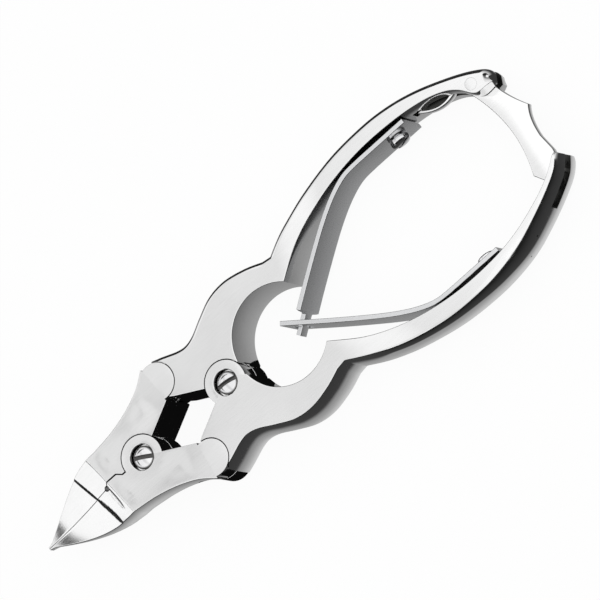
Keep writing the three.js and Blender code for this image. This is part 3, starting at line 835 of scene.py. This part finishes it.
def build_jaw(side, form):
    """One jaw: a ribbon whose top falls into the hollow nose and whose belly rises to the tip."""
    name = "jaw_forging_a" if side < 0 else "jaw_forging_b"
    outer, inner = jaw_plan(side)
    x = (outer[:, 0] + inner[:, 0]) / 2
    nose = ease(x, CREASE_X - 6, CREASE_X + 6)
    tall = jaw_top(x, outer[:, 1]) - jaw_underside(x, outer[:, 1])
    width = np.linalg.norm(outer - inner, axis=1)
    upper_in = np.minimum(0.20 - 0.05 * nose, width * 0.2)
    upper_drop = np.minimum(0.20, tall * 0.2)
    belly_drop = np.minimum(9.8, tall * 0.9)
    belly_in = np.minimum(0.16 + 0.17 * belly_drop, width * 0.55)
    inner_in = np.minimum(0.08, width * 0.2)
    inner_drop = np.minimum(0.08, tall * 0.2)

    def dish(px, py, across):
        """Sine bowl across the nose, deepest near the meeting line, and a slight dip beside the lug."""
        s = np.clip((px - CREASE_X - 5.5) / (NOSE - 5.5), 0, 1)
        depth = (form.hollow / MM) * np.sin(np.pi * s) ** 1.5
        off_lug = ease(np.hypot(px - JAW_PIVOT_X, py), 4.9, 7.5)
        off_ear = ease(np.hypot(px - KNUCKLE[0], np.abs(py) - KNUCKLE[1]), 4.2, 7.0)
        dip = 0.09 * off_lug * off_ear * (1 - ease(px, CREASE_X - 2, CREASE_X + 1))
        return depth * np.sin(np.pi / 2 * across) ** 0.9 + dip * np.sin(np.pi * across) ** 2

    obj = ribbon(
        name, outer, inner, jaw_underside, jaw_top,
        (upper_in, upper_drop, 0.0), (inner_in, inner_drop, 0.0),
        ((belly_in, belly_drop, 1.0), (inner_in, inner_drop, 0.0)), dish,
    )
    own, mate = ("lower", "upper") if side < 0 else ("upper", "lower")
    hinge_parts(obj, JAW_PIVOT_X, 0, HINGE_RADIUS, own, mate, name + "_hinge")
    hinge_parts(obj, KNUCKLE[0], side * KNUCKLE[1], KNUCKLE_RADIUS, "upper", "lower", name + "_ear")
    combine(
        obj,
        rod(name + "_pin_bore", KNUCKLE[0], side * KNUCKLE[1], KNUCKLE_BORE, -2, HEAD - 1.3),
        rod(name + "_relief", RELIEF_X, 0, 0.6, -2, HEAD + 2),
    )
    screw_bore(obj, JAW_PIVOT_X, name)
    return obj


class NIPPER_OT_jaws(bpy.types.Operator):
    """Build the two forged jaws"""

    bl_idname = "nipper.jaws"
    bl_label = "Jaws"

    def execute(self, context):
        form = context.scene.nipper_form
        for side, body in ((-1, "jaw_a"), (1, "jaw_b")):
            obj = build_jaw(side, form)
            finish_piece(obj, "jaw", body, body)
        return {"FINISHED"}


# ------------------------------------------------------------------ screws and pins


def dome(radius, rim, rise, under, shank, low):
    """Profile of a screw: shank, underside of the head, its rounded edge, and a crown that falls with
    the square of the distance from the axis."""
    a = np.linspace(0, math.pi / 2, 10)
    edge = [(radius - 0.3 + 0.3 * math.cos(t), rim - rise - 0.3 + 0.3 * math.sin(t)) for t in a[:8]]
    crown = [((edge[-1][0]) * s, rim - (rim - edge[-1][1]) * s * s) for s in np.linspace(0.93, 0.03, 14)]
    stem = [(shank - 0.25, low), (shank, low + 0.25), (shank, under)]
    return [*stem, (radius - 0.08, under), (radius, under + 0.08), *edge, *crown]


def build_pivot_screw(name, x, angle):
    """A pivot screw: lathe-turned, its driver slot cut across the dome."""
    rim = HEAD - 0.05
    screw = lathe(name, x, 0, dome(2.4, rim, 0.78, HEAD - 1.95, 1.8, 0.0))
    slot = box_solid(name + "_slot", np.array([x, 0, rim + 0.1]), np.array([8.0, 0.92, 2.4]), angle)
    return combine(screw, slot)


def build_spring_screw(name, side):
    """A spring screw lying across the strap, its head on the leaf's inner face."""
    head = [(2.2, 0.0), (2.2, 0.5), (2.12, 0.85), (1.85, 1.12), (1.4, 1.25), (0.9, 1.3), (0.05, 1.32)]
    profile = [(0.9, -4.6), (1.1, -4.4), (1.1, 0.0), (2.05, 0.0), (2.15, 0.03), *head[1:]]
    screw = lathe(name, 0, 0, profile, steps=72)
    combine(screw, box_solid(name + "_slot", np.array([0, 0, 1.4]), np.array([8.0, 0.62, 1.2]), 0.5))
    lay_along_y(screw, SPRING_SCREW_X, side * (SPRING_SEAT - 1.3), MID, side > 0)
    return screw


class NIPPER_OT_fasteners(bpy.types.Operator):
    """Build the pivot screws, spring screws, pins and rivet"""

    bl_idname = "nipper.fasteners"
    bl_label = "Screws and pins"

    def execute(self, context):
        for part, x, turn in (("handle", 0, -7), ("jaw", JAW_PIVOT_X, -29)):
            screw = build_pivot_screw(part + "_screw", x, math.radians(turn))
            finish_piece(screw, "screw", part + "_a", part + "_pivot_screw")
        for side, letter in ((-1, "a"), (1, "b")):
            body = "handle_" + letter
            kx, ky = KNUCKLE[0], side * KNUCKLE[1]
            knuckle = rod("knuckle_stud_" + letter, kx, ky, 1.62, 0.0, 9.35, rim=0.12)
            finish_piece(knuckle, "pin", body, "knuckle_pin_" + letter)
            leaf = build_spring_screw("leaf_screw_" + letter, side)
            finish_piece(leaf, "leaf_screw", body, "spring_screw_" + letter)
        rivet = rod("lever_rivet", RIVET[0], RIVET[1], 1.28, 0.6, HEAD - 0.6, rim=0.03)
        finish_piece(rivet, "pin", "handle_a", "lock_rivet")
        catch = rod("hook_pin", CATCH[0], CATCH[1], 0.6, 2.72, HEAD - 2.72, rim=0.03)
        finish_piece(catch, "pin", "handle_b", "catch_pin")
        return {"FINISHED"}


# ------------------------------------------------------------------ springs


def build_leaf(side):
    """A leaf spring: a thin strip with rounded edges carried along its plan curve."""
    name = "leaf_a" if side < 0 else "leaf_b"
    overrun = 2.4 if side < 0 else 3.4
    root_y = SPRING_SEAT - LEAF_HALF
    root_end = SPRING_SCREW_X + 8.5
    sweep = SPRING_CROSS_X - root_end
    dx, dy = math.cos(SPRING_ANGLE), math.sin(SPRING_ANGLE)
    line = np.vstack([
        evenly([(SPRING_SCREW_X - 4.0, root_y), (root_end, root_y)], 40)[:-1],
        spline([
            (root_end, root_y), (root_end + sweep * 0.13, root_y * 0.985),
            (root_end + sweep * 0.26, root_y * 0.905), (root_end + sweep * 0.4, root_y * 0.77),
            (root_end + sweep * 0.56, root_y * 0.58), (root_end + sweep * 0.8, root_y * 0.27),
            (SPRING_CROSS_X, 0), (SPRING_CROSS_X + overrun * dx, -overrun * dy),
        ]),
    ])
    line = evenly(line, 260)
    tangent = np.gradient(line, axis=0)
    tangent /= np.linalg.norm(tangent, axis=1, keepdims=True)
    normal = np.column_stack([-tangent[:, 1], tangent[:, 0]])
    past = (line - [SPRING_CROSS_X, 0]) @ [dx, -dy]
    half = np.full(len(line), 4.4)
    if side < 0:
        half = 4.4 - 2.9 * ease(past, -2.6, -2.2)
    normal *= LEAF_HALF
    outer, inner = side_of(line + normal, side), side_of(line - normal, side)
    obj = ribbon(name, outer, inner, MID - half, MID + half, (0.16, 0.2, 0.0), (0.16, 0.2, 0.0))
    bore = rod(name + "_bore", 0, 0, SPRING_BORE, -3, 3)
    lay_along_y(bore, SPRING_SCREW_X, side * root_y, MID, False)
    combine(obj, bore)
    if side > 0:
        middle = (-1.6 + overrun - 1.0) / 2
        centre = np.array([SPRING_CROSS_X + middle * dx, -middle * dy, MID])
        combine(obj, box_solid(name + "_slot", centre, np.array([overrun + 0.6, 4.0, 3.6]), -SPRING_ANGLE))
    return obj


class NIPPER_OT_springs(bpy.types.Operator):
    """Build the two interlocking leaf springs"""

    bl_idname = "nipper.springs"
    bl_label = "Leaf springs"

    def execute(self, context):
        for side, letter in ((-1, "a"), (1, "b")):
            obj = build_leaf(side)
            finish_piece(obj, "spring", None, "leaf_spring_" + letter)
            # Painted shade on the leaf's face towards the strap, along its root.
            darken(obj, lambda at, n: (at[:, 0] < SPRING_SCREW_X + 13) & (n[:, 1] * side > 0.5))
            x, y, z = SPRING_SCREW_X * MM, side * (SPRING_SEAT - LEAF_HALF) * MM, MID * MM
            x + 1 * MM
            x + 14 * MM
            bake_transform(obj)
        return {"FINISHED"}


# ------------------------------------------------------------------ lock


def bend(start, middle, end, steps=10):
    """Quadratic curve from start to end, pulled towards middle; the start itself is left out."""
    t = np.linspace(0, 1, steps + 1)[1:, None]
    start, middle, end = (np.asarray(p, float) for p in (start, middle, end))
    return (1 - t) ** 2 * start + 2 * t * (1 - t) * middle + t * t * end


def heel_edge(turn):
    """One edge of the thumb heel: out along its inner side for 1, back along its outer side for -1."""
    rx, ry = RIVET
    if turn > 0:
        return bend((rx + 4.6, ry - 2.6), (rx + 9.2, ry - 0.7), (rx + 13.6, ry - 4.4))
    return bend((rx + 13.6, ry - 4.4), (rx + 9.0, ry - 5.2), (rx + 3.6, ry - 4.0))


def lever_outline():
    """Plan of the lock lever: boss, arm, hook and thumb heel."""
    rx, ry = RIVET
    cx, cy = CATCH
    rise = lambda share: ry + (cy - ry) * share
    hook = cy + 0.85
    boss = arc(RIVET, 2.2, 270, 180, 12)
    return np.vstack([
        boss,
        [(rx - 3.0, rise(0.138))],
        bend((rx - 3.0, rise(0.138)), (rx - 4.0, rise(0.267)), (rx - 6.0, rise(0.397))),
        bend((rx - 6.0, rise(0.397)), (rx - 4.3, rise(0.486)), (rx - 4.1, rise(0.668))),
        [(cx - 1.1, cy - 4.4), (cx - 0.7, cy - 1.5), (cx + 2.5, cy - 0.85), (cx + 2.5, hook),
         (cx + 1.25, hook), (cx + 1.6, hook + 0.85), (cx + 3.9, hook + 0.85),
         (cx + 4.1, cy - 0.4), (cx + 5.4, cy - 2.6)],
        bend((cx + 5.4, cy - 2.6), (rx + 0.1, rise(0.68)), (rx + 0.1, rise(0.486))),
        bend((rx + 0.1, rise(0.486)), (rx + 0.1, rise(0.263)), (rx + 2.2, ry + 0.6)),
        [(rx + 4.6, ry - 2.6)],
        heel_edge(1),
        heel_edge(-1),
    ])


class NIPPER_OT_lock(bpy.types.Operator):
    """Build the lock lever"""

    bl_idname = "nipper.lock"
    bl_label = "Lock lever"

    def execute(self, context):
        lever = flat_plate("hook_lever", lever_outline(), MID - 1.0, MID + 1.0, rim=0.22)
        rx, ry = RIVET
        thumb = np.vstack([heel_edge(1), heel_edge(-1)])
        thumb = thumb.mean(axis=0) + (thumb - thumb.mean(axis=0)) * 0.8
        combine(
            lever,
            rod("hook_lever_bore", rx, ry, RIVET_BORE, -2, HEAD + 2),
            flat_plate("hook_lever_thumb", thumb, THUMB_FLOOR, MID + 3.0, rim=0.01, steps=2),
        )
        finish_piece(lever, "lever", "lock", "lock_lever")
        # Painted shade on the floor of the thumb pocket.
        darken(lever, lambda at, _: np.abs(at[:, 2] - THUMB_FLOOR) < 0.002)
        return {"FINISHED"}


# ------------------------------------------------------------------ studio

PANEL_HEIGHT = 0.4
# Dark spot over the nose, as (x, y, z, radius) in metres.
NOSE_SPOT = (0.187, -0.1026, 0.256, 0.027)
# Dim places of the overhead panel, as (x, y, radius, depth): the light falls by depth at the centre.
PATCHES = ((0.1461, -0.1429, 0.014, 0.36), (0.1459, -0.1534, 0.012, 0.34))
# Black cards just under the head, as (x0, y0, x1, y1) in millimetres, that walls above them reflect.
FLAGS = {
    "flag_window": (5.0, -9.5, 21.0, 9.5),
    "flag_ear": (10.8, 11.5, 19.0, 20.0),
    "flag_hinge": (-8.2, -3.0, -3.0, 3.0),
}
BACKDROP_SIDES = 48
BACKDROP_RADIUS = 5.0
SENSOR = 36.0
# The camera's axes, and the point in millimetres that it aims at.
VIEW_RIGHT = (-0.7162, 0.5520, -0.4257)
VIEW_BACK = (-0.2743, 0.3377, 0.8994)
VIEW_TARGET = (-22.94, -2.52, 10.91)


def stage_piece(name, points, faces, material):
    """A stage object from corners in metres."""
    obj = make_mesh(name, points, faces, unit=1.0)
    obj.data.materials.append(material)
    return obj


def card(name, x0, y0, x1, y1, z, material):
    """A level rectangle at height z, in metres. It faces up, or down where x0 is above x1."""
    return stage_piece(name, [(x0, y0, z), (x1, y0, z), (x1, y1, z), (x0, y1, z)], [(0, 1, 2, 3)], material)


def floor_finish(colour):
    """Pale floor: lit softly by the room, with a share of its own glow so that shadows stay faint."""
    make = Finish(bpy.data.materials.new("studio_floor"))
    place = make.node("ShaderNodeTexCoord", output=3)
    mottle = make.noise(place, 35.0, 3.0)
    tone = make.mix(mottle, (*(c * 0.99 for c in colour), 1.0), (*colour, 1.0))
    lit = make.node("ShaderNodeBsdfDiffuse", None, {"Color": tone})
    both = make.node("ShaderNodeMixShader", None, {0: 0.94, 1: lit, 2: make.glow()})
    return make.done(both)


def panel_finish(strength):
    """Overhead soft panel, dimmer over the head, brighter to both ends, with soft dim patches."""
    make = Finish(bpy.data.materials.new("studio_panel"))
    place = make.node("ShaderNodeTexCoord", output=3)
    x = make.axis(place, 0)
    level = 1.0 - 0.2 * (make.step(x, 0.02, 0.11) * (1.0 - make.step(x, 0.18, 0.26)))
    for px, py, radius, depth in PATCHES:
        near = make.distance(place, (px, py, PANEL_HEIGHT))
        level = level * (1.0 - depth * (1.0 - make.step(near, 0.0, radius)))
    return make.done(make.glow(level * strength))


def spot_finish():
    """A dark spot that fades out to nothing at its rim, seen only in the hollow nose."""
    make = Finish(bpy.data.materials.new("studio_spot"))
    x, y, z, radius = NOSE_SPOT
    place = make.node("ShaderNodeTexCoord", output=3)
    near = make.distance(place, (x, y, z))
    dark = make.node("ShaderNodeBsdfDiffuse", None, {"Color": (0.01, 0.01, 0.01, 1.0)})
    clear = make.node("ShaderNodeBsdfTransparent")
    fade = make.step(near, 0.45 * radius, radius)
    both = make.node("ShaderNodeMixShader", None, {0: fade, 1: dark, 2: clear})
    return make.done(both)


def surroundings():
    """Room seen in the steel: white above and a grey ground, with dark drapes at the horizon to both
    sides of the tool and a pale wall at its two ends."""
    world = bpy.data.worlds.new("studio_room")
    bpy.context.scene.world = world
    make = Finish(world)
    way = make.node("ShaderNodeTexCoord")
    across, ahead, up = (make.axis(way, k) for k in range(3))
    ground = [(0.0, 0.70), (0.025, 0.58), (0.052, 0.29), (0.075, 0.05)]
    sky = [(0.755, 0.95), (1.0, 1.05)]

    def ramp(*band):
        stops = [(place, (v, v, v, 1.0)) for place, v in (*ground, *band, *sky)]
        return make.node("ShaderNodeValToRGB", {"stops": stops}, {"Fac": up * 0.5 + 0.5})

    drapes = make.step(ahead + across * 0.5, -0.15, 0.25) + make.step(ahead * -1.0, 0.78, 0.9)
    pale = ramp((0.25, 0.04), (0.40, 0.34), (0.52, 0.62), (0.64, 0.86))
    tone = make.mix(drapes, pale, ramp((0.56, 0.012), (0.70, 0.02)))
    back = make.node("ShaderNodeBackground", None, {"Color": tone, "Strength": 1.0})
    make.node("ShaderNodeOutputWorld", None, {"Surface": back})


def backdrop():
    """White drum round the stage, behind everything, that only the camera sees."""
    n = BACKDROP_SIDES
    ring = arc((0, 0), BACKDROP_RADIUS, 0, 360, n + 1)[:-1]
    wall = np.vstack([np.column_stack([ring, np.full(n, z)]) for z in (-4.0, 5.0)])
    k = np.arange(n)
    faces = np.column_stack([k, (k + 1) % n, (k + 1) % n + n, k + n]).tolist()
    faces += [list(range(n)), list(range(n, 2 * n))]
    make = Finish(bpy.data.materials.new("studio_backdrop"))
    drum = stage_piece("backdrop", wall, faces, make.done(make.glow()))
    drum.visible_glossy = drum.visible_diffuse = drum.visible_shadow = False


def aim_camera(scene, studio):
    """Long-lens camera above the tool, towards its far side."""
    data = bpy.data.cameras.new("camera")
    data.lens, data.sensor_width = studio.lens, SENSOR
    distance = studio.frame_width * studio.lens / SENSOR
    right, back = Vector(VIEW_RIGHT).normalized(), Vector(VIEW_BACK).normalized()
    up = back.cross(right).normalized()
    camera = bpy.data.objects.new("camera", data)
    target = Vector(VIEW_TARGET) * MM
    turn = Matrix((right, up, back)).transposed().to_4x4()
    camera.matrix_world = Matrix.Translation(target + back * distance) @ turn
    data.clip_start, data.clip_end = 0.05, 30.0
    scene.collection.objects.link(camera)
    scene.camera = camera


class NIPPER_OT_studio(bpy.types.Operator):
    """Set up the floor, the soft light and the camera"""

    bl_idname = "nipper.studio"
    bl_label = "Studio"

    def execute(self, context):
        scene = context.scene
        studio = scene.nipper_studio
        surroundings()
        r = 1.6
        floor = card("floor", -r, -r, r, r, -0.00003, floor_finish(tuple(studio.floor)))
        floor.visible_glossy = False
        backdrop()
        w = 0.75
        panel = card("overhead", w, -w, -w, w, PANEL_HEIGHT, panel_finish(studio.panel))
        panel.visible_camera = False
        make = Finish(bpy.data.materials.new("studio_black"))
        black = make.done(make.node("ShaderNodeBsdfDiffuse", None, {"Color": (0.004, 0.004, 0.004, 1.0)}))
        for name, corners in FLAGS.items():
            flag = card(name, *(v * MM for v in corners), -0.0003, black)
            flag.visible_camera = flag.visible_diffuse = flag.visible_shadow = False
        x, y, z, r = NOSE_SPOT
        card("nose_spot", x - r, y - r, x + r, y + r, z, spot_finish()).visible_camera = False
        scene.view_settings.view_transform = "Standard"
        aim_camera(scene, studio)
        return {"FINISHED"}


class NIPPER_PT_panel(bpy.types.Panel):
    """Sidebar panel with every step"""

    bl_idname = "NIPPER_PT_panel"
    bl_label = "Nail nipper"
    bl_space_type = "VIEW_3D"
    bl_region_type = "UI"
    bl_category = "Nipper"

    def draw(self, context):
        layout = self.layout
        for group in ("nipper_looks", "nipper_form", "nipper_studio"):
            settings = getattr(context.scene, group)
            box = layout.box()
            for name in settings.__annotations__:
                box.prop(settings, name)
        for operator in STEPS:
            layout.operator(operator.bl_idname)


GROUPS = {"nipper_looks": NipperLooks, "nipper_form": NipperForm, "nipper_studio": NipperStudio}
STEPS = (
    NIPPER_OT_handles, NIPPER_OT_jaws, NIPPER_OT_fasteners, NIPPER_OT_springs, NIPPER_OT_lock,
    NIPPER_OT_studio,
)


def register():
    for cls in (*GROUPS.values(), *STEPS, NIPPER_PT_panel):
        bpy.utils.register_class(cls)
    for name, group in GROUPS.items():
        setattr(bpy.types.Scene, name, bpy.props.PointerProperty(type=group))


def unregister():
    for name in GROUPS:
        delattr(bpy.types.Scene, name)
    for cls in (NIPPER_PT_panel, *reversed(STEPS), *GROUPS.values()):
        bpy.utils.unregister_class(cls)


def main():
    register()
    for step in (
        bpy.ops.nipper.handles, bpy.ops.nipper.jaws, bpy.ops.nipper.fasteners,
        bpy.ops.nipper.springs, bpy.ops.nipper.lock, bpy.ops.nipper.studio,
    ):
        step()


if __name__ == "__main__":
    main()
